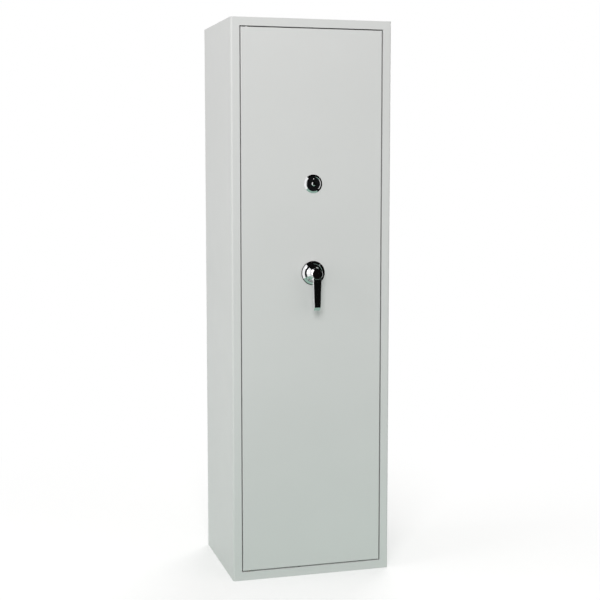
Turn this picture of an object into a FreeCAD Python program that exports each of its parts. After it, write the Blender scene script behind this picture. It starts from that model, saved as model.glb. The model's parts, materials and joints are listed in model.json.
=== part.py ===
import FreeCAD, Part
import os
import re
import Sketcher

# A free-standing steel gun safe: a folded cabinet, an inset door on two hidden pivots, a key lock,
# and a lever that throws three side bolts and two rods.
# The origin is the centre of the base. X points right, Y back and Z up, and all sizes are in millimetres.

# Driving dimensions. Each one is a cell of the sheet, and everything below is worked out from them.
SIZES = {
    # Cabinet
    "cabinet_width": 440,
    "cabinet_depth": 340,
    "cabinet_height": 1500,
    "body_sheet": 3,
    "fold_radius": 5,
    "side_border": 23.5,
    "top_border": 22,
    "bottom_border": 23.5,
    "jamb_depth": 52,
    "wall_anchor_pitch": 280,
    "wall_anchor_rise": 900,
    "floor_anchor_pitch": 260,
    "floor_anchor_reach": 160,
    "anchor_hole": 12,
    "anchor_washer": 30,
    # Door leaf
    "door_gap": 3,
    "door_sheet": 4,
    "door_thickness": 48,
    "door_edge_radius": 1.5,
    "cover_sheet": 2,
    "cover_inset": 1,
    "post_diameter": 8,
    "post_inset": 14,
    "post_end_inset": 51,
    "post_rise": 232,
    "inner_post_reach": 72,
    "inner_post_drop": 269,
    "inner_post_rise": 94,
    "cover_screw_diameter": 4,
    "cover_screw_length": 14,
    "cover_screw_head": 8,
    "cover_screw_crown": 1,
    "cover_screw_dome": 1,
    "cross_length": 4.4,
    "cross_width": 1,
    "cross_depth": 1.4,
    "stiffener_width": 50,
    "stiffener_crown": 26,
    "stiffener_depth": 30,
    "stiffener_sheet": 2,
    "stiffener_inset": 42,
    "stiffener_end": 34,
    # Hinge
    "hinge_inset": 17,
    "bush_skin_gap": 0.5,
    "hinge_pin": 8,
    "hinge_pin_reach": 16,
    "hinge_pin_head": 12,
    "hinge_head_height": 3,
    "pin_chamfer": 1,
    "hinge_bush_wall": 0.9,
    "hinge_plate": 6,
    "hinge_plate_width": 38,
    "hinge_plate_depth": 30,
    "thrust_washer_diameter": 14,
    "thrust_washer_thickness": 2.8,
    # Clearances
    "seat_clearance": 0.05,
    "running_clearance": 0.08,
    "slide_clearance": 0.3,
    "keeper_clearance": 1,
    "layer_gap": 1,
    "thread_clearance": 1,
    "overcut": 1,
    "fixing_screw": 4,
    "fixing_screw_head": 7,
    "fixing_screw_head_height": 2.5,
    # Lever, spindle and cam
    "lock_shift": 2.5,
    "handle_height": 831,
    "rosette_seat": 1.6,
    "rosette_seat_rim": 1.6,
    "rosette_radius": 30.6,
    "rosette_wall": 0.6,
    "rosette_shoulder_radius": 25,
    "rosette_shoulder": 5.8,
    "rosette_step": 0.7,
    "rosette_cove_radius": 19,
    "rosette_cove": 5.6,
    "rosette_top_radius": 12.5,
    "rosette_height": 12,
    "rosette_top_rounding": 2,
    "rosette_screw_reach": 15.5,
    "rosette_screw_crown": 1,
    "rosette_thread": 5,
    "rosette_gap": 0.5,
    "neck_diameter": 16,
    "neck_flare": 2,
    "boss_diameter": 30,
    "boss_edge": 1.2,
    "boss_proud": 0.5,
    "lever_front": 43,
    "lever_thickness": 9,
    "lever_length": 97,
    "lever_root_width": 24,
    "lever_tip_width": 17.5,
    "lever_edge_radius": 1.2,
    "lever_slant_height": 8,
    "lever_slant_depth": 5,
    "spindle_flats": 8,
    "spindle_corners": 10.4,
    "spindle_socket": 22,
    "spindle_bush_wall": 1.8,
    "spindle_screw_head": 10.4,
    "spindle_screw_crown": 3,
    "spindle_screw_length": 12,
    "cam_radius": 24,
    "cam_plate": 5,
    "crank_radius": 16,
    "crank_pin": 5,
    "pin_play": 0.8,
    "slot_rim": 5,
    # Bolt carriage, side bolts and rods
    "yoke_clearance": 1.5,
    "yoke_plate": 4,
    "carriage_plate": 4,
    "bar_width": 32,
    "bar_end_inset": 204,
    "bar_cover_gap": 3,
    "bolt_end_inset": 264,
    "bolt_diameter": 20,
    "bolt_cover_gap": 2,
    "bolt_spigot": 10,
    "bolt_rivet": 14,
    "bolt_rivet_height": 3,
    "bolt_chamfer": 2,
    "bolt_recess": 2,
    "arm_height": 24,
    "cam_arm_height": 20,
    "guide_arm_inset": 324,
    "guide_arm_length": 50,
    "stud_reach": 46,
    "stud_diameter": 8,
    "stud_shoulder": 12,
    "stud_head": 14,
    "stud_head_height": 3,
    "rod_diameter": 10,
    "rod_offset": 37,
    "rod_setback": 6,
    "rod_recess": 2,
    "rod_guide_width": 24,
    "rod_guide_height": 12,
    "rod_guide_depth": 14,
    "rod_guide_reach": 85,
    "top_guide_shift": 38,
    "bottom_guide_inset": 150,
    "yoke_side_gap": 0.8,
    # Key lock
    "lock_rise": 238,
    "escutcheon_radius": 24.8,
    "escutcheon_wall": 0.8,
    "escutcheon_height": 4.2,
    "escutcheon_crest": 20,
    "escutcheon_crest_width": 0.5,
    "lock_face_radius": 18.5,
    "lock_face_height": 3.4,
    "lock_neck_radius": 14.8,
    "index_mark": 2.4,
    "index_reach": 13,
    "index_depth": 0.5,
    "index_proud": 0.1,
    "plug_diameter": 12,
    "plug_front": 9,
    "plug_bevel": 2,
    "plug_crown": 1.2,
    "keyway_width": 2,
    "keyway_height": 8,
    "keyway_depth": 15,
    "tail_radius": 10,
    "tail_plate": 4,
    "tail_crank": 7.07,
    "tail_pin": 4,
    "tail_play": 0.5,
    "hard_plate": 3,
    "hard_plate_reach": 30,
    "case_half_width": 22,
    "case_half_height": 26,
    "case_wall": 3,
    "case_roof": 12,
    "case_floor": 6,
    "case_screw_reach": 17.5,
    "case_screw_rise": 21,
    "blocker_half_width": 12,
    "blocker_tongue": 12,
    "blocker_head": 7,
    "blocker_heel": 8,
    "blocker_reach": 42,
    "blocker_gap": 2,
    "notch_depth": 10,
    # Inside fittings
    "shelf_drop": 260,
    "shelf_sheet": 2,
    "shelf_lip": 20,
    "shelf_setback": 70,
    "fitting_clearance": 0.3,
    "bracket_leg": 20,
    "bracket_sheet": 2,
    "bracket_setback": 10,
    "rack_drop": 240,
    "rack_sheet": 3,
    "rack_depth": 70,
    "rack_foam": 12,
    "foam_margin": 3,
    "notch_pitch": 76,
    "notch_width": 42,
    "notch_reach": 48,
    "mat_thickness": 5,
    "mat_margin": 3,
}
BOLT_COUNT = 3
RACK_NOTCHES = 5

doc = FreeCAD.newDocument("GunSafe")
sheet = doc.addObject("Spreadsheet::Sheet", "Sizes")
for row, (alias, value) in enumerate(SIZES.items(), 1):
    sheet.set(f"A{row}", alias)
    sheet.set(f"B{row}", str(value))
    sheet.setAlias(f"B{row}", alias)
doc.recompute()

ALIAS = re.compile(r"\b(" + "|".join(SIZES) + r")\b")
UP = FreeCAD.Vector(0, 0, 1)
TURNED = {
    "x": FreeCAD.Rotation(UP, FreeCAD.Vector(1, 0, 0)),
    "y": FreeCAD.Rotation(UP, FreeCAD.Vector(0, 1, 0)),
    "z": FreeCAD.Rotation(),
    "-y": FreeCAD.Rotation(UP, FreeCAD.Vector(0, -1, 0)),
    "-z": FreeCAD.Rotation(FreeCAD.Vector(1, 0, 0), 180),
}
# Each plane's sketch lies along two axes, and its normal runs along the third, forwards or backwards.
PLANES = {"XY_Plane": 1, "XZ_Plane": -1, "YZ_Plane": 1}
parts = []


def bind(item, prop, text):
    """Ties a property to a formula over the sheet's names."""
    item.setExpression(prop, ALIAS.sub(lambda found: "Sizes." + found.group(), text))


def put(item, x, y, z):
    for axis, value in zip("xyz", (x, y, z)):
        bind(item, f"Placement.Base.{axis}", value)


def keep(item, label):
    """Names a finished sub-part. Its label is also the name of its file."""
    item.Label = label
    parts.append(item)
    return item


def box(x, y, z):
    """A block between two formulas along each axis."""
    item = doc.addObject("Part::Box", "Block")
    for prop, (low, high) in zip(("Length", "Width", "Height"), (x, y, z)):
        bind(item, prop, f"({high}) - ({low})")
    put(item, x[0], y[0], z[0])
    return item


def cylinder(axis, start, diameter, length):
    item = doc.addObject("Part::Cylinder", "Round")
    bind(item, "Radius", f"({diameter}) / 2")
    bind(item, "Height", length)
    item.Placement = FreeCAD.Placement(FreeCAD.Vector(), TURNED[axis])
    put(item, *start)
    return item


def fuse(pieces):
    item = doc.addObject("Part::MultiFuse", "Joined")
    item.Shapes = pieces
    item.Refine = True
    return item


def group(pieces):
    item = doc.addObject("Part::Compound", "Group")
    item.Links = pieces
    return item


def cut(base, tools):
    item = doc.addObject("Part::Cut", "Cut")
    item.Base = base
    item.Tool = tools[0] if len(tools) == 1 else fuse(tools)
    return item


def slot(x, z, diameter, y):
    """A round-ended cutter through the layer y. It is long along X or along Z."""
    along_x = x[0] != x[1]
    half = f"({diameter}) / 2"
    depth = f"({y[1]}) - ({y[0]})"
    ends = [cylinder("y", (x[i], y[0], z[i]), diameter, depth) for i in (0, 1)]
    if along_x:
        middle = box(x, y, (f"{z[0]} - {half}", f"{z[0]} + {half}"))
    else:
        middle = box((f"{x[0]} - {half}", f"{x[0]} + {half}"), y, z)
    return fuse(ends + [middle])


def new_sketch(body, plane, offset):
    sketch = body.newObject("Sketcher::SketchObject", "Outline")
    support = [face for face in body.Origin.OriginFeatures if face.Role == plane][0]
    sketch.AttachmentSupport = [(support, "")]
    sketch.MapMode = "FlatFace"
    bind(sketch, "AttachmentOffset.Base.z", offset)
    return sketch


def hold(sketch, kind, where, text):
    """One dimension of a sketch, tied to a formula."""
    index = sketch.addConstraint(Sketcher.Constraint(kind, *where, 1.0))
    bind(sketch, f"Constraints[{index}]", text)


def draw(sketch, outline, circles=()):
    """A closed outline through its corners, with round holes as (u, v, diameter)."""
    count = len(outline)
    start = [FreeCAD.Vector(1, 0, 0)]
    turn = FreeCAD.Rotation(UP, 360 / count)
    for _ in outline[1:]:
        start.append(turn.multVec(start[-1]))
    for index in range(count):
        sketch.addGeometry(Part.LineSegment(start[index], start[(index + 1) % count]), False)
    for index in range(count):
        sketch.addConstraint(Sketcher.Constraint("Coincident", index, 2, (index + 1) % count, 1))
    for index, (u, v) in enumerate(outline):
        hold(sketch, "DistanceX", (index, 1), u)
        hold(sketch, "DistanceY", (index, 1), v)
    for u, v, diameter in circles:
        index = sketch.addGeometry(Part.Circle(FreeCAD.Vector(), UP, 1), False)
        hold(sketch, "DistanceX", (index, 3), u)
        hold(sketch, "DistanceY", (index, 3), v)
        hold(sketch, "Diameter", (index,), diameter)


def padded(plane, outline, low, high, circles=()):
    """A body with one pad: the outline on the plane, from low to high along the plane's own axis."""
    body = doc.addObject("PartDesign::Body", "Plate")
    forwards = PLANES[plane] > 0
    sketch = new_sketch(body, plane, low if forwards else f"-({low})")
    draw(sketch, outline, circles)
    pad = body.newObject("PartDesign::Pad", "Pad")
    pad.Profile = sketch
    pad.Reversed = not forwards
    bind(pad, "Length", f"({high}) - ({low})")
    return body


def turned(axis, start, outline):
    """A body turned about an axis through start: the outline is (radius, distance along the axis)."""
    body = doc.addObject("PartDesign::Body", "Turned")
    sketch = new_sketch(body, "XZ_Plane", "0")
    draw(sketch, outline)
    spin = body.newObject("PartDesign::Revolution", "Revolution")
    spin.Profile = sketch
    spin.ReferenceAxis = (sketch, ["V_Axis"])
    spin.Angle = 360
    body.Placement = FreeCAD.Placement(FreeCAD.Vector(), TURNED[axis])
    put(body, *start)
    return body


def picked(body, chosen):
    """The body's tip, and the names of the tip's edges that the test picks."""
    doc.recompute()
    tip = body.Tip
    bounds = tip.Shape.BoundBox
    return tip, [f"Edge{index}" for index, edge in enumerate(tip.Shape.Edges, 1) if chosen(edge, bounds)]


def rounded(body, radius, chosen):
    """A fillet on some of the body's edges."""
    base = picked(body, chosen)
    fillet = body.newObject("PartDesign::Fillet", "Rounding")
    fillet.Base = base
    bind(fillet, "Radius", radius)
    return body


def slanted(body, depth, height, chosen):
    """A sloping cut along some of the body's edges."""
    base = picked(body, chosen)
    chamfer = body.newObject("PartDesign::Chamfer", "Slant")
    chamfer.Base = base
    chamfer.ChamferType = "Two distances"
    bind(chamfer, "Size", depth)
    bind(chamfer, "Size2", height)
    return body


def near(value, target):
    return abs(value - target) < 0.01


def flat_edge(edge, axis, value):
    """Whether the whole edge lies at one value along an axis."""
    box_of = edge.BoundBox
    return near(getattr(box_of, axis + "Min"), value) and near(getattr(box_of, axis + "Max"), value)


def round_edge(edge, alias):
    """Whether the edge is a circle whose radius is the named size."""
    return isinstance(edge.Curve, Part.Circle) and near(edge.Curve.Radius, SIZES[alias])


# Planes and lines that several pieces share.
SIDE = "(cabinet_width / 2)"
FRONT = "(-cabinet_depth / 2)"
BACK = "(cabinet_depth / 2)"
INNER_SIDE = f"({SIDE} - body_sheet)"
FRONT_INSIDE = f"({FRONT} + body_sheet)"
BACK_INSIDE = f"({BACK} - body_sheet)"
JAMB_X = f"({SIDE} - side_border)"
JAMB_TOP = "(cabinet_height - top_border)"
JAMB_BOTTOM = "bottom_border"
JAMB_BACK = f"({FRONT} + jamb_depth)"

DOOR_X = f"({JAMB_X} - door_gap)"
DOOR_TOP = f"({JAMB_TOP} - door_gap)"
DOOR_BOTTOM = f"({JAMB_BOTTOM} + door_gap)"
DOOR_MIDDLE = f"(({DOOR_TOP} + {DOOR_BOTTOM}) / 2)"
SKIN_BACK = f"({FRONT} + door_sheet)"
DOOR_BACK = f"({FRONT} + door_thickness)"
FLANGE_X = f"({DOOR_X} - door_sheet)"

BUSH_BORE = "(hinge_pin + 2 * running_clearance)"
BUSH_DIAMETER = f"({BUSH_BORE} + 2 * hinge_bush_wall)"
BUSH_SEAT = f"({BUSH_DIAMETER} + 2 * seat_clearance)"
PIVOT_X = f"(-{DOOR_X} + hinge_inset)"
PIVOT_Y = f"({SKIN_BACK} + bush_skin_gap + {BUSH_DIAMETER} / 2)"

# The boltwork lies in layers behind the skin: the rods' yokes, the cam, then the bolt carriage.
YOKE = (f"({SKIN_BACK} + yoke_clearance)", f"({SKIN_BACK} + yoke_clearance + yoke_plate)")
CAM = (f"({YOKE[1]} + layer_gap)", f"({YOKE[1]} + layer_gap + cam_plate)")
CARRIAGE = (f"({CAM[1]} + layer_gap)", f"({CAM[1]} + layer_gap + carriage_plate)")
STROKE = "(crank_radius * sqrt(2))"
THROW = "(crank_radius / sqrt(2))"
AXIS_X = "lock_shift"
LOCK_HEIGHT = "(handle_height + lock_rise)"
SHELF_TOP = "(cabinet_height - shelf_drop)"
RACK_TOP = f"({SHELF_TOP} - rack_drop)"

BAR_OUTER = f"({FLANGE_X} - {STROKE} - bolt_recess - layer_gap)"
BOLT_Y = f"({DOOR_BACK} - bolt_cover_gap - bolt_diameter / 2)"
BOLT_PITCH = f"(({DOOR_TOP} - {DOOR_BOTTOM} - 2 * bolt_end_inset) / {BOLT_COUNT - 1})"
BOLT_HEIGHTS = [f"({DOOR_BOTTOM} + bolt_end_inset + {i} * {BOLT_PITCH})" for i in range(BOLT_COUNT)]
GUIDE_ARMS = [f"({DOOR_BOTTOM} + guide_arm_inset)", f"({DOOR_TOP} - guide_arm_inset)"]
BOLT_TIP = f"({DOOR_X} - bolt_recess)"
ROD_Y = f"({SKIN_BACK} + rod_setback)"
TOP_ROD_X = f"({AXIS_X} + rod_offset)"
BOTTOM_ROD_X = f"({AXIS_X} - rod_offset)"
BLOCKER_TIP = f"({LOCK_HEIGHT} - blocker_reach)"
LOCK_ARM_TOP = f"({BLOCKER_TIP} - blocker_gap)"
LOCK_ARM = (f"({LOCK_ARM_TOP} - arm_height)", LOCK_ARM_TOP)
CAM_ARM_TOP = "(handle_height - spindle_screw_head / 2 - layer_gap)"
CAM_ARM = (f"({CAM_ARM_TOP} - cam_arm_height)", CAM_ARM_TOP)
STUD_X = f"({BAR_OUTER} - stud_reach)"
SPINDLE_BUSH = "(spindle_corners + 2 * running_clearance + 2 * spindle_bush_wall)"


def post_places():
    """Where the cover's posts stand: a column at each edge of the door, and two clear of the boltwork."""
    edge = f"({FLANGE_X} - post_inset)"
    ends = [f"({DOOR_BOTTOM} + post_end_inset)", f"({DOOR_TOP} - post_end_inset)"]
    places = [(f"{side}{edge}", z) for side in ("-", "") for z in ends]
    places += [(f"-{edge}", f"({DOOR_MIDDLE} + {side} * post_rise)") for side in (-1, 1)]
    places.append(("inner_post_reach", "(handle_height - inner_post_drop)"))
    places.append(("inner_post_reach", "(handle_height + inner_post_rise)"))
    return places


def across(sign, inner, outer):
    """The two formulas as (low, high) X values on the left (-1) or right (+1) side."""
    return (inner, outer) if sign > 0 else (f"-({outer})", f"-({inner})")


def side_panel(label, sign):
    """A side sheet folded round the front border, with the jamb behind it. sign is -1 left, +1 right."""
    corners = (
        (SIDE, BACK),
        (SIDE, FRONT),
        (JAMB_X, FRONT),
        (JAMB_X, FRONT_INSIDE),
        (INNER_SIDE, FRONT_INSIDE),
        (INNER_SIDE, BACK),
    )
    fold = padded("XY_Plane", [(f"{sign} * {x}", y) for x, y in corners], "0", "cabinet_height")

    def fold_edge(inset):
        def chosen(edge, bounds):
            x = bounds.XMin + inset if sign < 0 else bounds.XMax - inset
            return flat_edge(edge, "X", x) and flat_edge(edge, "Y", bounds.YMin + inset)

        return chosen

    rounded(fold, "fold_radius", fold_edge(0))
    rounded(fold, "fold_radius - body_sheet", fold_edge(SIZES["body_sheet"]))
    jamb_x = across(sign, JAMB_X, f"({JAMB_X} + body_sheet)")
    panel = fuse([fold, box(jamb_x, (FRONT_INSIDE, JAMB_BACK), (JAMB_BOTTOM, JAMB_TOP))])
    if sign > 0:
        bore = "bolt_diameter + 2 * keeper_clearance"
        start = f"({JAMB_X} - overcut)"
        length = "body_sheet + 2 * overcut"
        panel = cut(panel, [cylinder("x", (start, BOLT_Y, z), bore, length) for z in BOLT_HEIGHTS])
    keep(panel, label)


def end_panel(label, plate_z, lip_z, return_z, rod_x, anchors):
    """The top or floor sheet, its lip behind the front border, and a return that keeps a rod and a pivot."""
    outline = rectangle((f"-{INNER_SIDE}", INNER_SIDE), (FRONT_INSIDE, BACK_INSIDE))
    plate = padded("XY_Plane", outline, *plate_z)

    def corner(edge, bounds):
        at_side = flat_edge(edge, "X", bounds.XMin) or flat_edge(edge, "X", bounds.XMax)
        return at_side and flat_edge(edge, "Y", bounds.YMin)

    rounded(plate, "fold_radius - body_sheet + seat_clearance", corner)
    lip = box((f"-{JAMB_X}", JAMB_X), (FRONT, FRONT_INSIDE), lip_z)
    behind = box((f"-{JAMB_X}", JAMB_X), (FRONT_INSIDE, JAMB_BACK), return_z)
    bores = [
        (rod_x, ROD_Y, return_z[0], "rod_diameter + 2 * keeper_clearance"),
        (PIVOT_X, PIVOT_Y, return_z[0], "hinge_pin + 2 * seat_clearance"),
    ]
    bores += [(x, y, plate_z[0], "anchor_hole") for x, y in anchors]
    length = "body_sheet + 2 * overcut"
    tools = [cylinder("z", (x, y, f"{z} - overcut"), size, length) for x, y, z, size in bores]
    keep(cut(fuse([plate, lip, behind]), tools), label)


def floor_anchors():
    return [
        (f"{i} * floor_anchor_pitch / 2", f"{j} * floor_anchor_reach / 2")
        for i in (-1, 1)
        for j in (-1, 1)
    ]


def cabinet():
    side_panel("left_side_panel", -1)
    side_panel("right_side_panel", 1)
    end_panel(
        "top_panel",
        ("(cabinet_height - body_sheet)", "cabinet_height"),
        (JAMB_TOP, "cabinet_height"),
        (JAMB_TOP, f"({JAMB_TOP} + body_sheet)"),
        TOP_ROD_X,
        [],
    )
    end_panel(
        "floor_panel",
        ("0", "body_sheet"),
        ("0", JAMB_BOTTOM),
        (f"({JAMB_BOTTOM} - body_sheet)", JAMB_BOTTOM),
        BOTTOM_ROD_X,
        floor_anchors(),
    )
    wall_anchors = [
        (f"{i} * wall_anchor_pitch / 2", f"cabinet_height / 2 + {j} * wall_anchor_rise / 2", "anchor_hole")
        for i in (-1, 1)
        for j in (-1, 1)
    ]
    outline = rectangle((f"-{INNER_SIDE}", INNER_SIDE), ("0", "cabinet_height"))
    keep(padded("XZ_Plane", outline, BACK_INSIDE, BACK, wall_anchors), "back_panel")


def rectangle(u, v):
    return [(u[0], v[0]), (u[1], v[0]), (u[1], v[1]), (u[0], v[1])]


def hinge():
    """Two headed pins in the cabinet's returns. Each turns in a bush in a plated corner of the door."""
    top_low = f"({DOOR_TOP} - door_sheet - hinge_plate)"
    bottom_high = f"({DOOR_BOTTOM} + door_sheet + hinge_plate)"
    seats = (
        ("upper", "-z", f"({JAMB_TOP} + body_sheet)", top_low, DOOR_TOP),
        ("lower", "z", f"({JAMB_BOTTOM} - body_sheet)", DOOR_BOTTOM, bottom_high),
    )
    reach = "(body_sheet + door_gap + hinge_pin_reach)"
    for name, axis, seat, bush_low, bush_high in seats:
        pin = [
            ("0", "-hinge_head_height"),
            ("hinge_pin_head / 2", "-hinge_head_height"),
            ("hinge_pin_head / 2", "0"),
            ("hinge_pin / 2", "0"),
            ("hinge_pin / 2", f"{reach} - pin_chamfer"),
            ("hinge_pin / 2 - pin_chamfer", reach),
            ("0", reach),
        ]
        keep(turned(axis, (PIVOT_X, PIVOT_Y, seat), pin), f"{name}_hinge_pin")
        length = "(door_sheet + hinge_plate)"
        bush = rectangle((f"{BUSH_BORE} / 2", f"{BUSH_DIAMETER} / 2"), ("0", length))
        keep(turned("z", (PIVOT_X, PIVOT_Y, bush_low), bush), f"{name}_hinge_bush")
        plate_low = bush_low if name == "upper" else f"({bush_high} - hinge_plate)"
        plate = box(
            (f"-{FLANGE_X}", f"(-{FLANGE_X} + hinge_plate_width)"),
            (SKIN_BACK, f"({SKIN_BACK} + hinge_plate_depth)"),
            (plate_low, f"({plate_low} + hinge_plate)"),
        )
        bore_start = (PIVOT_X, PIVOT_Y, f"({plate_low} - overcut)")
        bore = cylinder("z", bore_start, BUSH_SEAT, "hinge_plate + 2 * overcut")
        keep(cut(plate, [bore]), f"{name}_hinge_plate")
    washer_radii = ("hinge_pin / 2 + running_clearance", "thrust_washer_diameter / 2")
    washer = rectangle(washer_radii, ("0", "thrust_washer_thickness"))
    keep(turned("z", (PIVOT_X, PIVOT_Y, JAMB_BOTTOM), washer), "hinge_thrust_washer")


def door_leaf():
    """A folded pan: the skin and its four flanges, bored for the bolts, rods, bushes, spindle and lock."""
    outline = rectangle((f"-{DOOR_X}", DOOR_X), (DOOR_BOTTOM, DOOR_TOP))
    pan = padded("XZ_Plane", outline, FRONT, DOOR_BACK)
    rounded(pan, "door_edge_radius", lambda edge, bounds: flat_edge(edge, "Y", bounds.YMin))
    hollow_z = (f"({DOOR_BOTTOM} + door_sheet)", f"({DOOR_TOP} - door_sheet)")
    sketch = new_sketch(pan, "XZ_Plane", f"-{SKIN_BACK}")
    draw(sketch, rectangle((f"-{FLANGE_X}", FLANGE_X), hollow_z))
    pocket = pan.newObject("PartDesign::Pocket", "Hollow")
    pocket.Profile = sketch
    bind(pocket, "Length", "door_thickness")
    through = "door_sheet + 2 * overcut"
    in_front = f"({FRONT} - overcut)"
    flange = f"({FLANGE_X} - overcut)"
    bolt_bore = "bolt_diameter + 2 * slide_clearance"
    rod_bore = "rod_diameter + 2 * slide_clearance"
    bush_bore = f"{SPINDLE_BUSH} + 2 * seat_clearance"
    neck_bore = "2 * lock_neck_radius + 2 * seat_clearance"
    top = f"({DOOR_TOP} - door_sheet - overcut)"
    bottom = f"({DOOR_BOTTOM} - overcut)"
    bores = [cylinder("x", (flange, BOLT_Y, z), bolt_bore, through) for z in BOLT_HEIGHTS]
    bores += [
        cylinder("z", (TOP_ROD_X, ROD_Y, top), rod_bore, through),
        cylinder("z", (BOTTOM_ROD_X, ROD_Y, bottom), rod_bore, through),
        cylinder("z", (PIVOT_X, PIVOT_Y, top), BUSH_SEAT, through),
        cylinder("z", (PIVOT_X, PIVOT_Y, bottom), BUSH_SEAT, through),
        cylinder("y", (AXIS_X, in_front, "handle_height"), bush_bore, through),
        cylinder("y", (AXIS_X, in_front, LOCK_HEIGHT), neck_bore, through),
    ]
    for side in (-1, 1):
        z = f"handle_height + {side} * rosette_screw_reach"
        bores.append(cylinder("y", (AXIS_X, in_front, z), "fixing_screw + 2 * seat_clearance", through))
    keep(cut(pan, bores), "door_pan")


def door_cover():
    """The cover screwed over the boltwork, with its posts and screws, and the stiffening channel under it."""
    places = post_places()
    edge_x = f"({DOOR_X} - cover_inset)"
    edge_z = (f"({DOOR_BOTTOM} + cover_inset)", f"({DOOR_TOP} - cover_inset)")
    holes = [(x, z, "cover_screw_diameter + 2 * seat_clearance") for x, z in places]
    outline = rectangle((f"-{edge_x}", edge_x), edge_z)
    keep(padded("XZ_Plane", outline, DOOR_BACK, f"({DOOR_BACK} + cover_sheet)", holes), "door_cover")

    thread = "(cover_screw_diameter / 2 + seat_clearance)"
    length = "(door_thickness - door_sheet)"
    tapped = f"({length} - cover_screw_length)"
    post = [
        ("0", "0"),
        ("post_diameter / 2", "0"),
        ("post_diameter / 2", length),
        (thread, length),
        (thread, tapped),
        ("0", tapped),
    ]
    keep(group([turned("y", (x, SKIN_BACK, z), post) for x, z in places]), "cover_posts")

    shank_end = "thread_clearance - cover_screw_length"
    head_top = "cover_sheet + cover_screw_crown + cover_screw_dome"
    screw = [
        ("0", shank_end),
        ("cover_screw_diameter / 2", shank_end),
        ("cover_screw_diameter / 2", "cover_sheet"),
        ("cover_screw_head / 2", "cover_sheet"),
        ("cover_screw_head / 2", "cover_sheet + cover_screw_crown"),
        ("cover_screw_head / 4", head_top),
        ("0", head_top),
    ]
    cross_y = (f"({DOOR_BACK} + {head_top} - cross_depth)", f"({DOOR_BACK} + {head_top} + overcut)")
    screws = []
    for x, z in places:
        cross = []
        for wide, tall in (("cross_length", "cross_width"), ("cross_width", "cross_length")):
            slot_x = (f"{x} - {wide} / 2", f"{x} + {wide} / 2")
            slot_z = (f"{z} - {tall} / 2", f"{z} + {tall} / 2")
            cross.append(box(slot_x, cross_y, slot_z))
        screws.append(cut(turned("y", (x, DOOR_BACK, z), screw), cross))
    keep(group(screws), "cover_screws")

    foot = f"(-{FLANGE_X} + stiffener_inset)"
    web = f"({foot} + (stiffener_width - stiffener_crown) / 2)"
    crown = f"({SKIN_BACK} + stiffener_depth)"
    tip = f"({SKIN_BACK} + stiffener_sheet)"
    outline = [
        (foot, SKIN_BACK),
        (f"{web} + stiffener_sheet", SKIN_BACK),
        (f"{web} + stiffener_sheet", f"{crown} - stiffener_sheet"),
        (f"{web} + stiffener_crown - stiffener_sheet", f"{crown} - stiffener_sheet"),
        (f"{web} + stiffener_crown - stiffener_sheet", SKIN_BACK),
        (f"{foot} + stiffener_width", SKIN_BACK),
        (f"{foot} + stiffener_width", tip),
        (f"{web} + stiffener_crown", tip),
        (f"{web} + stiffener_crown", crown),
        (web, crown),
        (web, tip),
        (foot, tip),
    ]
    span = (f"({DOOR_BOTTOM} + stiffener_end)", f"({DOOR_TOP} - stiffener_end)")
    keep(padded("XY_Plane", outline, *span), "door_stiffener")


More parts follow.
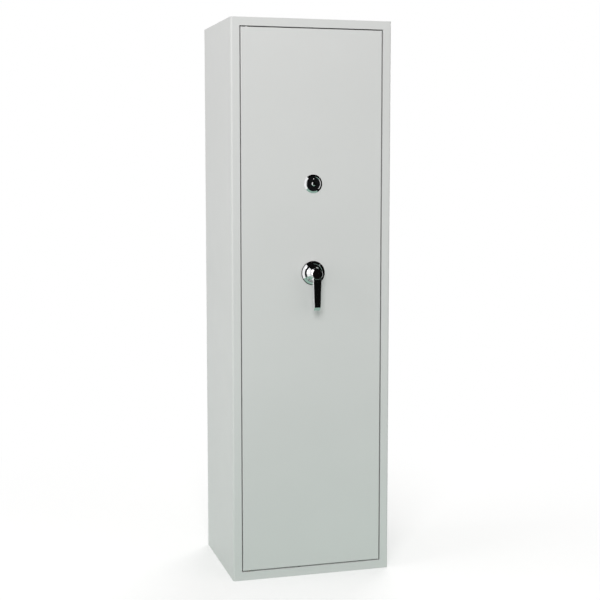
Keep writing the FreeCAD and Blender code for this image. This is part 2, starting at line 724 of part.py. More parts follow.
def handle():
    """The lever on its square spindle, the rosette and bush that carry it, and the cam behind the skin."""
    axis = (AXIS_X, FRONT, "handle_height")
    bore = "neck_diameter / 2 + running_clearance"
    outline = [
        (bore, "rosette_seat"),
        ("rosette_radius", "rosette_seat"),
        ("rosette_radius", "rosette_seat + rosette_wall"),
        ("rosette_shoulder_radius", "rosette_shoulder"),
        ("rosette_shoulder_radius - rosette_step", "rosette_shoulder - rosette_step"),
        ("rosette_cove_radius", "rosette_cove"),
        ("rosette_top_radius", "rosette_height"),
        (bore, "rosette_height"),
    ]
    rosette = turned("-y", axis, outline)
    rounded(rosette, "rosette_top_rounding", lambda edge, bounds: round_edge(edge, "rosette_top_radius"))
    seat = turned("-y", axis, rectangle((bore, "rosette_radius + rosette_seat_rim"), ("0", "rosette_seat")))
    hole = ("fixing_screw + 2 * seat_clearance", "rosette_thread + thread_clearance / 2")
    places = [(AXIS_X, FRONT, f"handle_height + {side} * rosette_screw_reach") for side in (-1, 1)]
    for piece, label in ((seat, "rosette_seat_ring"), (rosette, "handle_rosette")):
        keep(cut(piece, [cylinder("-y", place, *hole) for place in places]), label)

    bush = rectangle(("spindle_corners / 2 + running_clearance", f"{SPINDLE_BUSH} / 2"), ("-door_sheet", "0"))
    keep(turned("-y", axis, bush), "spindle_bush")

    neck_foot = "rosette_height + rosette_gap"
    neck = [
        ("0", "overcut"),
        ("neck_diameter / 2", "overcut"),
        ("neck_diameter / 2", neck_foot),
        ("boss_diameter / 2 - neck_flare", neck_foot),
        ("boss_diameter / 2", "lever_front - lever_thickness - neck_flare"),
        ("boss_diameter / 2", "lever_front - boss_edge"),
        ("boss_diameter / 2 - boss_edge", "lever_front"),
        ("0", "lever_front"),
    ]
    arm = padded(
        "XZ_Plane",
        [
            (f"{AXIS_X} - lever_root_width / 2", "handle_height"),
            (f"{AXIS_X} + lever_root_width / 2", "handle_height"),
            (f"{AXIS_X} + lever_tip_width / 2", "handle_height - lever_length"),
            (f"{AXIS_X} - lever_tip_width / 2", "handle_height - lever_length"),
        ],
        f"({FRONT} - lever_front + boss_proud)",
        f"({FRONT} - lever_front + lever_thickness)",
    )

    def front_tip(edge, bounds):
        return flat_edge(edge, "Z", bounds.ZMin) and flat_edge(edge, "Y", bounds.YMin)

    slanted(arm, "lever_slant_depth", "lever_slant_height", front_tip)
    rounded(arm, "lever_edge_radius", lambda edge, bounds: not near(edge.BoundBox.ZLength, 0))
    half = "(spindle_flats / 2 + seat_clearance)"
    socket = box(
        (f"{AXIS_X} - {half}", f"{AXIS_X} + {half}"),
        (f"({FRONT} - spindle_socket - overcut)", f"({FRONT} + overcut)"),
        (f"handle_height - {half}", f"handle_height + {half}"),
    )
    keep(cut(fuse([turned("-y", axis, neck), arm]), [socket]), "lever_handle")

    half = "(spindle_flats / 2)"
    spindle_y = (f"({FRONT} - spindle_socket)", CAM[1])
    square = box(
        (f"{AXIS_X} - {half}", f"{AXIS_X} + {half}"),
        spindle_y,
        (f"handle_height - {half}", f"handle_height + {half}"),
    )
    length = f"{spindle_y[1]} - {spindle_y[0]}"
    corners = cylinder("y", (AXIS_X, spindle_y[0], "handle_height"), "spindle_corners", length)
    trimmed = doc.addObject("Part::MultiCommon", "Trimmed")
    trimmed.Shapes = [square, corners]
    tapped = cylinder(
        "-y",
        (AXIS_X, CAM[1], "handle_height"),
        "fixing_screw + 2 * seat_clearance",
        "spindle_screw_length + thread_clearance",
    )
    keep(cut(trimmed, [tapped]), "handle_spindle")
    screw = [
        ("0", "-spindle_screw_length"),
        ("fixing_screw / 2", "-spindle_screw_length"),
        ("fixing_screw / 2", "0"),
        ("spindle_screw_head / 2", "0"),
        ("spindle_screw_head / 2", "spindle_screw_crown - pin_chamfer"),
        ("spindle_screw_head / 2 - pin_chamfer", "spindle_screw_crown"),
        ("0", "spindle_screw_crown"),
    ]
    keep(turned("y", (AXIS_X, CAM[1], "handle_height"), screw), "spindle_screw")

    disc = cylinder("y", (AXIS_X, CAM[0], "handle_height"), "2 * cam_radius", "cam_plate")
    half = "(spindle_flats / 2 + seat_clearance)"
    tools = [
        box(
            (f"{AXIS_X} - {half}", f"{AXIS_X} + {half}"),
            (f"({CAM[0]} - overcut)", f"({CAM[1]} + overcut)"),
            (f"handle_height - {half}", f"handle_height + {half}"),
        )
    ]
    pins = []
    for side_x, side_z, backwards in ((-1, -1, True), (1, -1, False), (-1, 1, False)):
        x = f"({AXIS_X} + {side_x} * {THROW})"
        z = f"(handle_height + {side_z} * {THROW})"
        hole = ("crank_pin + 2 * seat_clearance", "cam_plate + 2 * overcut")
        tools.append(cylinder("y", (x, f"({CAM[0]} - overcut)", z), *hole))
        start = CAM[0] if backwards else f"({YOKE[0]} - layer_gap / 2)"
        end = f"({CARRIAGE[1]} + layer_gap / 2)" if backwards else CAM[1]
        pins.append(cylinder("y", (x, start, z), "crank_pin", f"({end}) - ({start})"))
    keep(cut(disc, tools), "cam_disc")
    keep(group(pins), "cam_pins")

    screws = []
    for side in (-1, 1):
        z = f"(handle_height + {side} * rosette_screw_reach)"
        outline = [
            ("0", "-rosette_screw_crown"),
            ("fixing_screw_head / 2", "-rosette_screw_crown"),
            ("fixing_screw_head / 2", "0"),
            ("fixing_screw / 2", "0"),
            ("fixing_screw / 2", "door_sheet + rosette_thread"),
            ("0", "door_sheet + rosette_thread"),
        ]
        screws.append(turned("-y", (AXIS_X, SKIN_BACK, z), outline))
    keep(group(screws), "rosette_screws")


def bolt_carriage():
    """A folded bar that carries the side bolts, with slotted arms for its studs, the cam pin and the lock."""
    bar_x = (f"({BAR_OUTER} - bar_width)", BAR_OUTER)
    bar_z = (f"({DOOR_BOTTOM} + bar_end_inset)", f"({DOOR_TOP} - bar_end_inset)")
    flange_x = (f"({BAR_OUTER} - carriage_plate)", BAR_OUTER)
    flange_y = (CARRIAGE[0], f"({DOOR_BACK} - bar_cover_gap)")
    arms = [(f"({z} - arm_height / 2)", f"({z} + arm_height / 2)") for z in GUIDE_ARMS]
    pin_x = f"({AXIS_X} - {THROW})"
    notches = [AXIS_X, f"({AXIS_X} - {STROKE})"]
    notch_half = "(blocker_tongue / 2 + tail_play)"
    inner = f"({bar_x[0]} + overcut)"
    plates = [
        box(bar_x, CARRIAGE, bar_z),
        box(flange_x, flange_y, bar_z),
        box((f"({pin_x} - crank_pin / 2 - pin_play - slot_rim)", inner), CARRIAGE, CAM_ARM),
        box((f"({notches[1]} - {notch_half} - slot_rim)", inner), CARRIAGE, LOCK_ARM),
    ]
    plates += [box((f"({bar_x[0]} - guide_arm_length)", inner), CARRIAGE, arm) for arm in arms]

    through = (f"({CARRIAGE[0]} - overcut)", f"({CARRIAGE[1]} + overcut)")
    stud_slot = "stud_diameter + 2 * slide_clearance"
    tools = [slot((f"({STUD_X} - {STROKE})", STUD_X), (z, z), stud_slot, through) for z in stud_heights()]
    pin_z = ("(handle_height - crank_radius)", f"(handle_height - {THROW})")
    tools.append(slot((pin_x, pin_x), pin_z, "crank_pin + 2 * pin_play", through))
    for x in notches:
        notch_z = (f"({LOCK_ARM_TOP} - notch_depth)", f"({LOCK_ARM_TOP} + overcut)")
        tools.append(box((f"{x} - {notch_half}", f"{x} + {notch_half}"), through, notch_z))
    seat = "bolt_spigot + 2 * seat_clearance"
    for z in BOLT_HEIGHTS:
        start = (f"({flange_x[0]} - overcut)", BOLT_Y, z)
        tools.append(cylinder("x", start, seat, "carriage_plate + 2 * overcut"))
    keep(cut(fuse(plates), tools), "bolt_carriage")

    length = f"({BOLT_TIP} - {BAR_OUTER})"
    bolt = [
        ("0", "-carriage_plate - bolt_rivet_height"),
        ("bolt_rivet / 2", "-carriage_plate - bolt_rivet_height"),
        ("bolt_rivet / 2", "-carriage_plate"),
        ("bolt_spigot / 2", "-carriage_plate"),
        ("bolt_spigot / 2", "0"),
        ("bolt_diameter / 2", "0"),
        ("bolt_diameter / 2", f"{length} - bolt_chamfer"),
        ("bolt_diameter / 2 - bolt_chamfer", length),
        ("0", length),
    ]
    keep(group([turned("x", (BAR_OUTER, BOLT_Y, z), bolt) for z in BOLT_HEIGHTS]), "side_bolts")

    spacer = f"({CARRIAGE[0]} - {SKIN_BACK} - slide_clearance)"
    head = f"({CARRIAGE[1]} - {SKIN_BACK} + slide_clearance)"
    stud = [
        ("0", "0"),
        ("stud_shoulder / 2", "0"),
        ("stud_shoulder / 2", spacer),
        ("stud_diameter / 2", spacer),
        ("stud_diameter / 2", head),
        ("stud_head / 2", head),
        ("stud_head / 2", f"{head} + stud_head_height"),
        ("0", f"{head} + stud_head_height"),
    ]
    keep(group([turned("y", (STUD_X, SKIN_BACK, z), stud) for z in stud_heights()]), "carriage_studs")


def stud_heights():
    """One stud stands behind the middle of each arm of the bolt carriage."""
    return [f"({low} + {high}) / 2" for low, high in (CAM_ARM, LOCK_ARM)] + GUIDE_ARMS


def rods():
    """The top and bottom rods. A yoke welded to each one's inner end takes its pin of the cam."""
    plate_top = f"({LOCK_HEIGHT} + hard_plate_reach)"
    top_guide = f"(({plate_top} + {DOOR_TOP}) / 2 + top_guide_shift)"
    bottom_guide = f"({DOOR_BOTTOM} + bottom_guide_inset)"
    ends = (
        ("top", 1, TOP_ROD_X, DOOR_TOP, top_guide),
        ("bottom", -1, BOTTOM_ROD_X, DOOR_BOTTOM, bottom_guide),
    )
    for name, side, x, door_end, outer_guide in ends:
        pin_z = f"(handle_height - {side} * {THROW})"
        half = "(crank_pin / 2 + pin_play + slot_rim)"
        tip = f"({door_end} - {side} * rod_recess)"
        reach = across(side, "spindle_screw_head / 2 + yoke_side_gap", "rod_offset")
        yoke = box(
            (f"{AXIS_X} + ({reach[0]})", f"{AXIS_X} + ({reach[1]})"),
            YOKE,
            (f"{pin_z} - {half}", f"{pin_z} + {half}"),
        )
        length = f"{side} * ({tip} - {pin_z}) + {half}"
        bar = [
            ("0", "0"),
            ("rod_diameter / 2", "0"),
            ("rod_diameter / 2", f"{length} - pin_chamfer"),
            ("rod_diameter / 2 - pin_chamfer", length),
            ("0", length),
        ]
        start = f"{pin_z} - {side} * {half}"
        rod = turned("z" if side > 0 else "-z", (x, ROD_Y, start), bar)
        run = across(side, THROW, "crank_radius")
        window = slot(
            (f"({AXIS_X} + ({run[0]}))", f"({AXIS_X} + ({run[1]}))"),
            (pin_z, pin_z),
            "crank_pin + 2 * pin_play",
            (f"({YOKE[0]} - overcut)", f"({YOKE[1]} + overcut)"),
        )
        keep(cut(fuse([rod, yoke]), [window]), f"{name}_rod")

        guides = []
        for middle in (f"handle_height + {side} * rod_guide_reach", outer_guide):
            z = f"({middle} - rod_guide_height / 2)"
            block = box(
                (f"{x} - rod_guide_width / 2", f"{x} + rod_guide_width / 2"),
                (SKIN_BACK, f"({SKIN_BACK} + rod_guide_depth)"),
                (z, f"{z} + rod_guide_height"),
            )
            size = ("rod_diameter + 2 * running_clearance", "rod_guide_height + 2 * overcut")
            guides.append(cut(block, [cylinder("z", (x, ROD_Y, f"{z} - overcut"), *size)]))
        keep(group(guides), f"{name}_rod_guides")


def lock():
    """The key lock: ring, face and plug outside, and inside a case whose blocker drops into the carriage."""
    axis = (AXIS_X, FRONT, LOCK_HEIGHT)
    ring_bore = "lock_face_radius + seat_clearance"
    ring = [
        (ring_bore, "0"),
        ("escutcheon_radius", "0"),
        ("escutcheon_radius", "escutcheon_wall"),
        ("escutcheon_crest", "escutcheon_height"),
        ("escutcheon_crest - escutcheon_crest_width", "escutcheon_height"),
        (ring_bore, "lock_face_height"),
    ]
    keep(turned("-y", axis, ring), "lock_escutcheon")
    bore = "plug_diameter / 2 + running_clearance"
    outline = [
        (bore, "-door_sheet"),
        ("lock_neck_radius", "-door_sheet"),
        ("lock_neck_radius", "0"),
        ("lock_face_radius", "0"),
        ("lock_face_radius", "lock_face_height"),
        (bore, "lock_face_height"),
    ]
    face = turned("-y", axis, outline)
    mark_seat = (AXIS_X, f"({FRONT} - lock_face_height + index_depth)", f"{LOCK_HEIGHT} + index_reach")
    recess = cylinder("-y", mark_seat, "index_mark + 2 * seat_clearance", "index_depth + overcut")
    keep(cut(face, [recess]), "lock_face")
    keep(cylinder("-y", mark_seat, "index_mark", "index_depth + index_proud"), "index_mark")

    tail = (CAM[0], f"({CAM[0]} + tail_plate)")
    tail_front = f"({FRONT} - {tail[0]})"
    tail_back = f"({FRONT} - {tail[1]})"
    barrel = [
        ("0", tail_back),
        ("tail_radius", tail_back),
        ("tail_radius", tail_front),
        ("plug_diameter / 2", tail_front),
        ("plug_diameter / 2", "plug_front - plug_crown"),
        ("plug_diameter / 2 - plug_bevel", "plug_front"),
        ("0", "plug_front"),
    ]
    offset = "(tail_crank / sqrt(2))"
    pin_x = f"({AXIS_X} + {offset})"
    pin_z = f"({LOCK_HEIGHT} + {offset})"
    pin = cylinder("y", (pin_x, tail[0], pin_z), "tail_pin", f"{CARRIAGE[1]} - {tail[0]}")
    keyway = box(
        (f"{AXIS_X} - keyway_width / 2", f"{AXIS_X} + keyway_width / 2"),
        (f"({FRONT} - plug_front - overcut)", f"({FRONT} - plug_front + keyway_depth)"),
        (f"{LOCK_HEIGHT} - keyway_height / 2", f"{LOCK_HEIGHT} + keyway_height / 2"),
    )
    keep(cut(fuse([turned("-y", axis, barrel), pin]), [keyway]), "key_plug")

    plate_y = (SKIN_BACK, f"({SKIN_BACK} + hard_plate)")
    screws = [
        (f"{AXIS_X} + {i} * case_screw_reach", f"{LOCK_HEIGHT} + {j} * case_screw_rise")
        for i in (-1, 1)
        for j in (-1, 1)
    ]
    screw_bore = "fixing_screw + 2 * seat_clearance"
    plug_bore = "plug_diameter + 2 * running_clearance"
    holes = [(x, z, screw_bore) for x, z in screws]
    holes.append((AXIS_X, LOCK_HEIGHT, plug_bore))
    outline = rectangle(
        (f"{AXIS_X} - hard_plate_reach", f"{AXIS_X} + hard_plate_reach"),
        (f"{LOCK_HEIGHT} - hard_plate_reach", f"{LOCK_HEIGHT} + hard_plate_reach"),
    )
    keep(padded("XZ_Plane", outline, *plate_y, holes), "lock_hard_plate")

    case_back = f"({CARRIAGE[1]} + slide_clearance + case_wall)"
    case_x = (f"({AXIS_X} - case_half_width)", f"({AXIS_X} + case_half_width)")
    case_z = (f"({LOCK_HEIGHT} - case_half_height)", f"({LOCK_HEIGHT} + case_half_height)")
    case = box(case_x, (plate_y[1], case_back), case_z)
    room = "(blocker_half_width + slide_clearance)"
    cavity_y = (f"({CAM[0]} - slide_clearance)", f"({CARRIAGE[1]} + slide_clearance)")
    cavity_z = (f"{case_z[0]} + case_floor", f"{case_z[1]} - case_roof")
    tongue = "(blocker_tongue / 2 + slide_clearance)"
    start = f"({plate_y[1]} - overcut)"
    mouth_z = (f"{case_z[0]} - overcut", LOCK_HEIGHT)
    tools = [
        box((f"{AXIS_X} - {room}", f"{AXIS_X} + {room}"), cavity_y, cavity_z),
        box((f"{AXIS_X} - {tongue}", f"{AXIS_X} + {tongue}"), cavity_y, mouth_z),
        cylinder("y", (AXIS_X, start, LOCK_HEIGHT), plug_bore, f"{cavity_y[0]} + overcut - {start}"),
    ]
    length = f"{case_back} + overcut - {start}"
    tools += [cylinder("y", (x, start, z), screw_bore, length) for x, z in screws]
    keep(cut(case, tools), "lock_case")
    screw = [
        ("0", f"({SKIN_BACK}) - ({case_back})"),
        ("fixing_screw / 2", f"({SKIN_BACK}) - ({case_back})"),
        ("fixing_screw / 2", "0"),
        ("fixing_screw_head / 2", "0"),
        ("fixing_screw_head / 2", "fixing_screw_head_height"),
        ("0", "fixing_screw_head_height"),
    ]
    keep(group([turned("y", (x, case_back, z), screw) for x, z in screws]), "lock_case_screws")

    heel = f"({LOCK_HEIGHT} - blocker_heel)"
    head = f"({LOCK_HEIGHT} + blocker_head + {offset})"
    wide = "blocker_half_width"
    narrow = "blocker_tongue / 2"
    outline = [
        (f"{AXIS_X} - {wide}", heel),
        (f"{AXIS_X} - {narrow}", heel),
        (f"{AXIS_X} - {narrow}", BLOCKER_TIP),
        (f"{AXIS_X} + {narrow}", BLOCKER_TIP),
        (f"{AXIS_X} + {narrow}", heel),
        (f"{AXIS_X} + {wide}", heel),
        (f"{AXIS_X} + {wide}", head),
        (f"{AXIS_X} - {wide}", head),
    ]
    window = slot(
        (pin_x, f"({AXIS_X} + tail_crank)"),
        (pin_z, pin_z),
        "tail_pin + 2 * tail_play",
        (f"({CARRIAGE[0]} - overcut)", f"({CARRIAGE[1]} + overcut)"),
    )
    keep(cut(padded("XZ_Plane", outline, *CARRIAGE), [window]), "lock_blocker")


def inside():
    """The shelf and the barrel rack on their brackets, the rack's foam and the floor mat."""
    inner = f"({INNER_SIDE} - fitting_clearance)"
    width = (f"-{inner}", inner)
    back = f"({BACK_INSIDE} - fitting_clearance)"
    shelf_front = f"({FRONT} + shelf_setback)"
    shelf = [
        (shelf_front, f"{SHELF_TOP} - shelf_lip"),
        (f"{shelf_front} + shelf_sheet", f"{SHELF_TOP} - shelf_lip"),
        (f"{shelf_front} + shelf_sheet", f"{SHELF_TOP} - shelf_sheet"),
        (back, f"{SHELF_TOP} - shelf_sheet"),
        (back, SHELF_TOP),
        (shelf_front, SHELF_TOP),
    ]
    keep(padded("YZ_Plane", shelf, *width), "top_shelf")

    rack_front = f"({BACK_INSIDE} - rack_depth)"
    supports = (
        ("shelf", f"({SHELF_TOP} - shelf_sheet)", f"({shelf_front} + shelf_sheet + bracket_setback)"),
        ("rack", f"({RACK_TOP} - rack_sheet)", rack_front),
    )
    for name, top, start in supports:
        for side, sign in (("left", -1), ("right", 1)):
            leg = f"({INNER_SIDE} - bracket_leg)"
            outline = [
                (f"{sign} * {INNER_SIDE}", f"{top} - bracket_leg"),
                (f"{sign} * {INNER_SIDE}", top),
                (f"{sign} * {leg}", top),
                (f"{sign} * {leg}", f"{top} - bracket_sheet"),
                (f"{sign} * ({INNER_SIDE} - bracket_sheet)", f"{top} - bracket_sheet"),
                (f"{sign} * ({INNER_SIDE} - bracket_sheet)", f"{top} - bracket_leg"),
            ]
            bracket = padded("XZ_Plane", outline, start, f"({BACK_INSIDE} - bracket_setback)")
            keep(bracket, f"{name}_bracket_{side}")

    layers = (
        ("barrel_rack", (f"{RACK_TOP} - rack_sheet", RACK_TOP), "0"),
        ("barrel_rack_foam", (RACK_TOP, f"{RACK_TOP} + rack_foam"), "foam_margin"),
    )
    for name, z, narrowing in layers:
        size = f"(notch_width - 2 * {narrowing})"
        bottom = f"({rack_front} + notch_reach - {narrowing} - {size} / 2)"
        mouth_y = (f"({rack_front} - overcut)", bottom)
        cut_z = (f"({z[0]} - overcut)", f"({z[1]} + overcut)")
        tools = []
        for i in range(RACK_NOTCHES):
            centre = f"({i - (RACK_NOTCHES - 1) / 2} * notch_pitch)"
            tools.append(box((f"{centre} - {size} / 2", f"{centre} + {size} / 2"), mouth_y, cut_z))
            tools.append(cylinder("z", (centre, bottom, cut_z[0]), size, f"{cut_z[1]} - {cut_z[0]}"))
        keep(cut(box(width, (rack_front, back), z), tools), name)

    mat = f"({INNER_SIDE} - mat_margin)"
    mat_y = (f"({JAMB_BACK} + mat_margin)", f"({BACK_INSIDE} - mat_margin)")
    washer_hole = ("anchor_washer", "body_sheet + mat_thickness + overcut")
    bores = [cylinder("z", (x, y, "0"), *washer_hole) for x, y in floor_anchors()]
    mat_z = ("body_sheet", "body_sheet + mat_thickness")
    keep(cut(box((f"-{mat}", mat), mat_y, mat_z), bores), "floor_mat")


def write_parts():
    """Checks every object, then writes each sub-part to its own file."""
    doc.recompute()
    broken = [item.Name for item in doc.Objects if {"Invalid", "Error"} & set(item.State)]
    broken += [item.Label for item in parts if item.Shape.isNull() or not item.Shape.isValid()]
    if broken:
        raise SystemExit("failed objects: " + ", ".join(broken))
    os.makedirs("parts", exist_ok=True)
    for item in parts:
        item.Shape.exportStep(f"parts/{item.Label}.step")
        bounds = item.Shape.BoundBox
        print(
            f"{item.Label:22s} solids {len(item.Shape.Solids):2d}"
            f"  x {bounds.XMin:8.2f} {bounds.XMax:8.2f}"
            f"  y {bounds.YMin:8.2f} {bounds.YMax:8.2f}"
            f"  z {bounds.ZMin:8.2f} {bounds.ZMax:8.2f}"
        )


cabinet()
hinge()
door_leaf()
door_cover()
handle()
bolt_carriage()
rods()
lock()
inside()
write_parts()
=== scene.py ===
import json
import math

import bmesh
import bpy
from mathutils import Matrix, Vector

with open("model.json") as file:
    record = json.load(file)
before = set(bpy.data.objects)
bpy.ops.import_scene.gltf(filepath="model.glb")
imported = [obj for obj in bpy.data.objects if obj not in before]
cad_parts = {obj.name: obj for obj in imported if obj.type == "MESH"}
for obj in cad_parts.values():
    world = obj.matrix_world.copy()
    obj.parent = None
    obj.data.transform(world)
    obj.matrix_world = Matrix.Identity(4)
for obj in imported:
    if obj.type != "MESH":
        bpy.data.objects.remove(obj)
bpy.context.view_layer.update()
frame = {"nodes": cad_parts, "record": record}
scene = bpy.context.scene


# Camera: at the height of the lock, to the left of the door, looking slightly down.
CAMERA_AT = (-0.9244, -3.3297, 1.1215)
CAMERA_TURN = math.radians(15.74)
CAMERA_TILT = math.radians(-5.88)
CAMERA_LENS = 74.02
CAMERA_SHIFT = -0.015


def make_camera():
    data = bpy.data.cameras.new("camera")
    data.lens = CAMERA_LENS
    data.shift_y = CAMERA_SHIFT
    camera = bpy.data.objects.new("camera", data)
    camera.location = CAMERA_AT
    camera.rotation_euler = (math.radians(90) + CAMERA_TILT, 0, -CAMERA_TURN)
    scene.collection.objects.link(camera)
    scene.camera = camera


# Materials


class Shader:
    """A material's node tree, with short calls for the nodes that these finishes share."""

    def __init__(self, name, metallic=0.0):
        self.material = bpy.data.materials.new(name)
        self.material.use_nodes = True
        self.tree = self.material.node_tree
        self.surface = self.tree.nodes["Principled BSDF"]
        self.surface.inputs["Metallic"].default_value = metallic
        self.where = self.tree.nodes.new("ShaderNodeTexCoord").outputs["Object"]

    def node(self, kind, **values):
        made = self.tree.nodes.new(kind)
        for name, value in values.items():
            setattr(made, name, value)
        return made

    def link(self, source, target):
        self.tree.links.new(source, target)

    def stretched(self, scale):
        """Object coordinates scaled along each axis, for grain that runs one way."""
        mapping = self.node("ShaderNodeMapping")
        mapping.inputs["Scale"].default_value = scale
        self.link(self.where, mapping.inputs["Vector"])
        return mapping.outputs["Vector"]

    def noise(self, scale, detail, along=None):
        made = self.node("ShaderNodeTexNoise")
        made.inputs["Scale"].default_value = scale
        made.inputs["Detail"].default_value = detail
        self.link(along or self.where, made.inputs["Vector"])
        return made.outputs["Fac"]

    def cells(self, scale):
        """Small cells. Color gives each its own shade, and Distance is 0 at its middle."""
        made = self.node("ShaderNodeTexVoronoi")
        made.inputs["Scale"].default_value = scale
        self.link(self.where, made.inputs["Vector"])
        return made.outputs

    def tint(self, source, dark, light, start=0.3, end=0.7):
        """A 0 to 1 pattern as a colour between dark and light."""
        made = self.node("ShaderNodeValToRGB")
        ramp = made.color_ramp
        ramp.elements[0].position, ramp.elements[1].position = start, end
        ramp.elements[0].color, ramp.elements[1].color = (*dark, 1), (*light, 1)
        self.link(source, made.inputs["Fac"])
        self.link(made.outputs["Color"], self.surface.inputs["Base Color"])

    def rough(self, source, low, high):
        """A 0 to 1 pattern as a roughness between low and high."""
        made = self.node("ShaderNodeMapRange")
        made.inputs["To Min"].default_value = low
        made.inputs["To Max"].default_value = high
        self.link(source, made.inputs["Value"])
        self.link(made.outputs["Result"], self.surface.inputs["Roughness"])

    def bump(self, source, strength, depth, under=None):
        """A 0 to 1 pattern as relief, its depth in metres, on top of the relief under it."""
        made = self.node("ShaderNodeBump")
        made.inputs["Strength"].default_value = strength
        made.inputs["Distance"].default_value = depth
        self.link(source, made.inputs["Height"])
        if under:
            self.link(under, made.inputs["Normal"])
        self.link(made.outputs["Normal"], self.surface.inputs["Normal"])
        return made.outputs["Normal"]


def powder_coat():
    """Light grey semi-gloss powder: a fine orange peel, and faint clouds in shade and gloss."""
    made = Shader("powder_coat")
    clouds = made.noise(scale=3.2, detail=4)
    made.tint(clouds, dark=(0.686, 0.684, 0.680), light=(0.710, 0.708, 0.704))
    made.rough(made.noise(scale=14, detail=5), low=0.36, high=0.50)
    waves = made.bump(made.noise(scale=70, detail=2), strength=0.10, depth=0.0006)
    made.bump(made.noise(scale=900, detail=2), strength=0.16, depth=0.0002, under=waves)
    made.surface.inputs["Coat Weight"].default_value = 0.12
    made.surface.inputs["Coat Roughness"].default_value = 0.25
    return made.material


def chrome():
    """Bright plating with the faintest smears."""
    made = Shader("chrome", metallic=1.0)
    smears = made.noise(scale=40, detail=3)
    made.tint(smears, dark=(0.80, 0.81, 0.82), light=(0.88, 0.88, 0.89))
    made.rough(made.noise(scale=220, detail=4), low=0.03, high=0.10)
    made.bump(made.noise(scale=60, detail=2), strength=0.05, depth=0.0003)
    return made.material


def black_face():
    """Glossy black, as on the lock's face."""
    made = Shader("black_face")
    shade = made.noise(scale=300, detail=3)
    made.tint(shade, dark=(0.004, 0.004, 0.005), light=(0.010, 0.010, 0.011))
    made.rough(made.noise(scale=900, detail=3), low=0.10, high=0.22)
    made.bump(made.noise(scale=2500, detail=2), strength=0.15, depth=0.0001)
    return made.material


def white_enamel():
    """The paint fill of the index dot."""
    made = Shader("white_enamel")
    shade = made.noise(scale=1500, detail=2)
    made.tint(shade, dark=(0.74, 0.74, 0.72), light=(0.84, 0.84, 0.82))
    made.rough(made.noise(scale=3000, detail=2), low=0.30, high=0.45)
    return made.material


def turned_steel():
    """Bare steel, with the fine rings and streaks of turning and cutting."""
    made = Shader("turned_steel", metallic=1.0)
    grain = made.noise(scale=60, detail=4, along=made.stretched((1, 1, 40)))
    made.tint(grain, dark=(0.36, 0.36, 0.37), light=(0.56, 0.56, 0.57))
    made.rough(made.noise(scale=400, detail=3), low=0.22, high=0.42)
    made.bump(grain, strength=0.12, depth=0.0002)
    return made.material


def zinc():
    """Zinc plating: a cool sheet with small spangles and a slight blue and yellow cast."""
    made = Shader("zinc", metallic=1.0)
    spangles = made.cells(scale=160)["Color"]
    made.tint(spangles, dark=(0.50, 0.52, 0.56), light=(0.68, 0.68, 0.66), start=0.1, end=0.9)
    made.rough(made.noise(scale=120, detail=4), low=0.28, high=0.48)
    made.bump(made.noise(scale=500, detail=3), strength=0.10, depth=0.0002)
    return made.material


def bronze():
    """Sintered bearing bronze, in a very dark brown."""
    made = Shader("bronze", metallic=1.0)
    shade = made.noise(scale=250, detail=4)
    made.tint(shade, dark=(0.14, 0.10, 0.06), light=(0.24, 0.17, 0.10))
    made.rough(made.noise(scale=500, detail=3), low=0.28, high=0.45)
    made.bump(made.noise(scale=1200, detail=2), strength=0.15, depth=0.0001)
    return made.material


def foam():
    """Dark closed-cell foam: small cells that pit the surface."""
    made = Shader("foam")
    pits = made.cells(scale=700)["Distance"]
    made.tint(pits, dark=(0.020, 0.020, 0.022), light=(0.055, 0.055, 0.058), start=0.1, end=0.6)
    made.rough(made.noise(scale=200, detail=3), low=0.82, high=0.97)
    made.bump(pits, strength=0.6, depth=0.0006)
    return made.material


def ribbed_mat():
    """Black rubber with fine ribs from front to back, and a little dust on it."""
    made = Shader("ribbed_mat")
    ribs = made.node("ShaderNodeTexWave", wave_type="BANDS", bands_direction="X")
    ribs.inputs["Scale"].default_value = 60
    made.link(made.where, ribs.inputs["Vector"])
    dust = made.noise(scale=50, detail=5)
    made.tint(dust, dark=(0.022, 0.022, 0.023), light=(0.048, 0.047, 0.045))
    made.rough(made.noise(scale=90, detail=3), low=0.65, high=0.85)
    made.bump(ribs.outputs["Fac"], strength=0.7, depth=0.0012)
    return made.material


FINISHES = {
    "powder_coat": powder_coat,
    "chrome": chrome,
    "black": black_face,
    "white_enamel": white_enamel,
    "steel": turned_steel,
    "zinc": zinc,
    "bronze": bronze,
    "foam": foam,
    "mat": ribbed_mat,
}


def dress_nodes():
    """Gives every CAD node the finish of its material slot."""
    finishes = {slot: make() for slot, make in FINISHES.items()}
    for part in frame["record"]["subparts"]:
        materials = frame["nodes"][part["node"]].data.materials
        materials.clear()
        materials.append(finishes[part["material_slot"]])


# Stage: a white floor and world, soft lamps, and cards that only polished metal sees.

FLOOR_SIZE = 16.0
FLOOR_SHADE = (0.80, 0.80, 0.80)
FLOOR_LIFT = 0.22
WHITE = (1.0, 1.0, 1.0)
# Distances from the middle of the floor: the first is where a change starts, the second
# where it ends.
SHADOW_REACH = (0.55, 1.60)
GREEN_REACH = (0.70, 2.40)
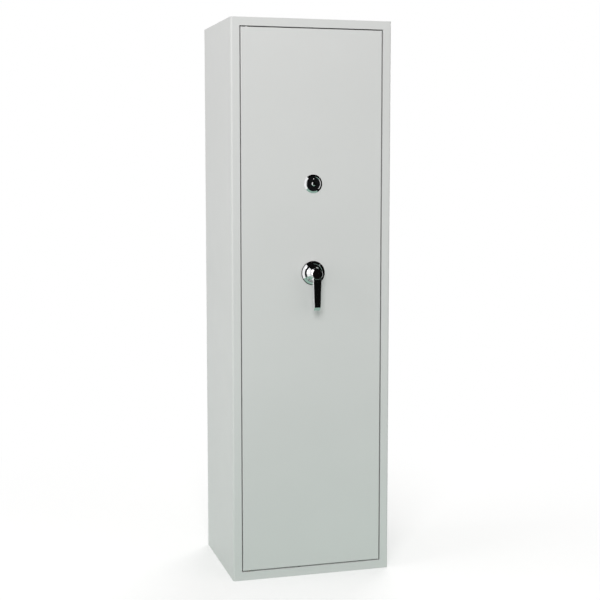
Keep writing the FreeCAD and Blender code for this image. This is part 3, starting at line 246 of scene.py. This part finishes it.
# What the floor returns to the paint: pale green close to the safe, and grey beyond.
GREEN_BOUNCE = (0.21, 0.36, 0.285)
GREY_BOUNCE = (0.29, 0.30, 0.295)
AMBIENT_TINT = (1.0, 1.0, 0.985)
AMBIENT = 0.56
LIGHTS = (
    # name, place, aim, width, height, watts, mirrored by polished metal
    ("key", (-1.35, -3.8, 2.9), (0, 0, 1.1), 1.7, 1.7, 83, True),
    ("fill", (2.3, -3.1, 1.5), (0, 0, 0.8), 3.2, 2.8, 17, False),
    ("left", (-3.2, -0.4, 1.5), (0, 0, 0.8), 2.2, 2.4, 25, True),
    ("back", (1.6, 2.8, 2.4), (0, 0, 0.9), 2.4, 2.4, 50, True),
)
DARK = (0.004, 0.004, 0.004)
LEAF_GREEN = (0.31, 0.46, 0.39)
CARDS = (
    # name, centre, width, height, turn in degrees, colour
    ("front_card", (1.3, -4.7, 1.7), 5.2, 3.4, (90, 0, 0), DARK),
    ("right_card", (3.9, -1.9, 1.7), 5.6, 3.4, (90, 0, 90), DARK),
    ("top_card", (1.2, -2.2, 3.5), 5.4, 5.0, (0, 0, 0), DARK),
    ("floor_card", (0.05, -2.44, 0.004), 1.9, 4.5, (0, 0, 0), LEAF_GREEN),
    ("right_floor_card", (2.55, -2.44, 0.004), 3.1, 4.5, (0, 0, 0), DARK),
)


def stage_piece(name, width, height, material):
    mesh = bpy.data.meshes.new(name)
    grid = bmesh.new()
    bmesh.ops.create_grid(grid, x_segments=1, y_segments=1, size=0.5)
    bmesh.ops.scale(grid, vec=(width, height, 1), verts=grid.verts)
    grid.to_mesh(mesh)
    grid.free()
    mesh.materials.append(material)
    piece = bpy.data.objects.new(name, mesh)
    scene.collection.objects.link(piece)
    return piece


def bare_tree(holder, output):
    """An empty node tree, and the socket that its shade goes into."""
    holder.use_nodes = True
    tree = holder.node_tree
    tree.nodes.clear()
    return tree, tree.nodes.new(output).inputs["Surface"]


def glow(tree, kind, colour, strength):
    made = tree.nodes.new(kind)
    made.inputs["Color"].default_value = (*colour, 1)
    made.inputs["Strength"].default_value = strength
    return made.outputs[0]


def diffuse(tree, colour):
    made = tree.nodes.new("ShaderNodeBsdfDiffuse")
    made.inputs["Color"].default_value = (*colour, 1)
    return made.outputs[0]


def fade(tree, distance, reach):
    """0 up to the start of the reach, and smoothly up to 1 at its end."""
    made = tree.nodes.new("ShaderNodeMapRange")
    made.interpolation_type = "SMOOTHSTEP"
    made.inputs["From Min"].default_value, made.inputs["From Max"].default_value = reach
    tree.links.new(distance, made.inputs["Value"])
    return made.outputs["Result"]


def mixed(tree, factor, first, second):
    mix = tree.nodes.new("ShaderNodeMixShader")
    tree.links.new(factor, mix.inputs["Fac"])
    tree.links.new(first, mix.inputs[1])
    tree.links.new(second, mix.inputs[2])
    return mix.outputs["Shader"]


def seen_or_bounced(tree, seen, bounced):
    """One shade for what the camera and polished metal see, and another for bounced light."""
    path = tree.nodes.new("ShaderNodeLightPath")
    factor = path.outputs["Is Camera Ray"]
    for ray in ("Is Glossy Ray", "Is Transmission Ray"):
        either = tree.nodes.new("ShaderNodeMath")
        either.operation = "MAXIMUM"
        tree.links.new(factor, either.inputs[0])
        tree.links.new(path.outputs[ray], either.inputs[1])
        factor = either.outputs[0]
    return mixed(tree, factor, bounced, seen)


def make_floor():
    """A pale floor that takes the safe's shadow, and goes to plain white further out."""
    material = bpy.data.materials.new("floor")
    tree, surface = bare_tree(material, "ShaderNodeOutputMaterial")
    place = tree.nodes.new("ShaderNodeTexCoord").outputs["Object"]
    away = tree.nodes.new("ShaderNodeVectorMath")
    away.operation = "LENGTH"
    tree.links.new(place, away.inputs[0])
    distance = away.outputs["Value"]

    lit = tree.nodes.new("ShaderNodeAddShader")
    tree.links.new(diffuse(tree, FLOOR_SHADE), lit.inputs[0])
    tree.links.new(glow(tree, "ShaderNodeEmission", WHITE, FLOOR_LIFT), lit.inputs[1])
    white = glow(tree, "ShaderNodeEmission", WHITE, 1.0)
    seen = mixed(tree, fade(tree, distance, SHADOW_REACH), lit.outputs[0], white)

    green, grey = diffuse(tree, GREEN_BOUNCE), diffuse(tree, GREY_BOUNCE)
    bounced = mixed(tree, fade(tree, distance, GREEN_REACH), green, grey)
    tree.links.new(seen_or_bounced(tree, seen, bounced), surface)
    stage_piece("floor", FLOOR_SIZE, FLOOR_SIZE, material)


def make_cards():
    """Cards around the camera that polished metal mirrors. No other ray meets them."""
    for name, centre, width, height, turn, colour in CARDS:
        material = bpy.data.materials.new(name)
        tree, surface = bare_tree(material, "ShaderNodeOutputMaterial")
        tree.links.new(glow(tree, "ShaderNodeEmission", colour, 1.0), surface)
        card = stage_piece(name, width, height, material)
        card.location = centre
        card.rotation_euler = [math.radians(angle) for angle in turn]
        card.visible_camera = False
        card.visible_diffuse = False
        card.visible_shadow = False


def make_world():
    world = bpy.data.worlds.new("studio")
    scene.world = world
    tree, surface = bare_tree(world, "ShaderNodeOutputWorld")
    seen = glow(tree, "ShaderNodeBackground", WHITE, 1.0)
    ambient = glow(tree, "ShaderNodeBackground", AMBIENT_TINT, AMBIENT)
    tree.links.new(seen_or_bounced(tree, seen, ambient), surface)


def make_lights():
    for name, place, aim, width, height, watts, mirrored in LIGHTS:
        data = bpy.data.lights.new(name, "AREA")
        data.shape = "RECTANGLE"
        data.size, data.size_y = width, height
        data.energy = watts
        lamp = bpy.data.objects.new(name, data)
        lamp.location = place
        towards = Vector(aim) - Vector(place)
        lamp.rotation_euler = towards.to_track_quat("-Z", "Y").to_euler()
        lamp.visible_glossy = mirrored
        scene.collection.objects.link(lamp)


scene.view_settings.view_transform = "Standard"
make_camera()
dress_nodes()
make_world()
make_floor()
make_cards()
make_lights()
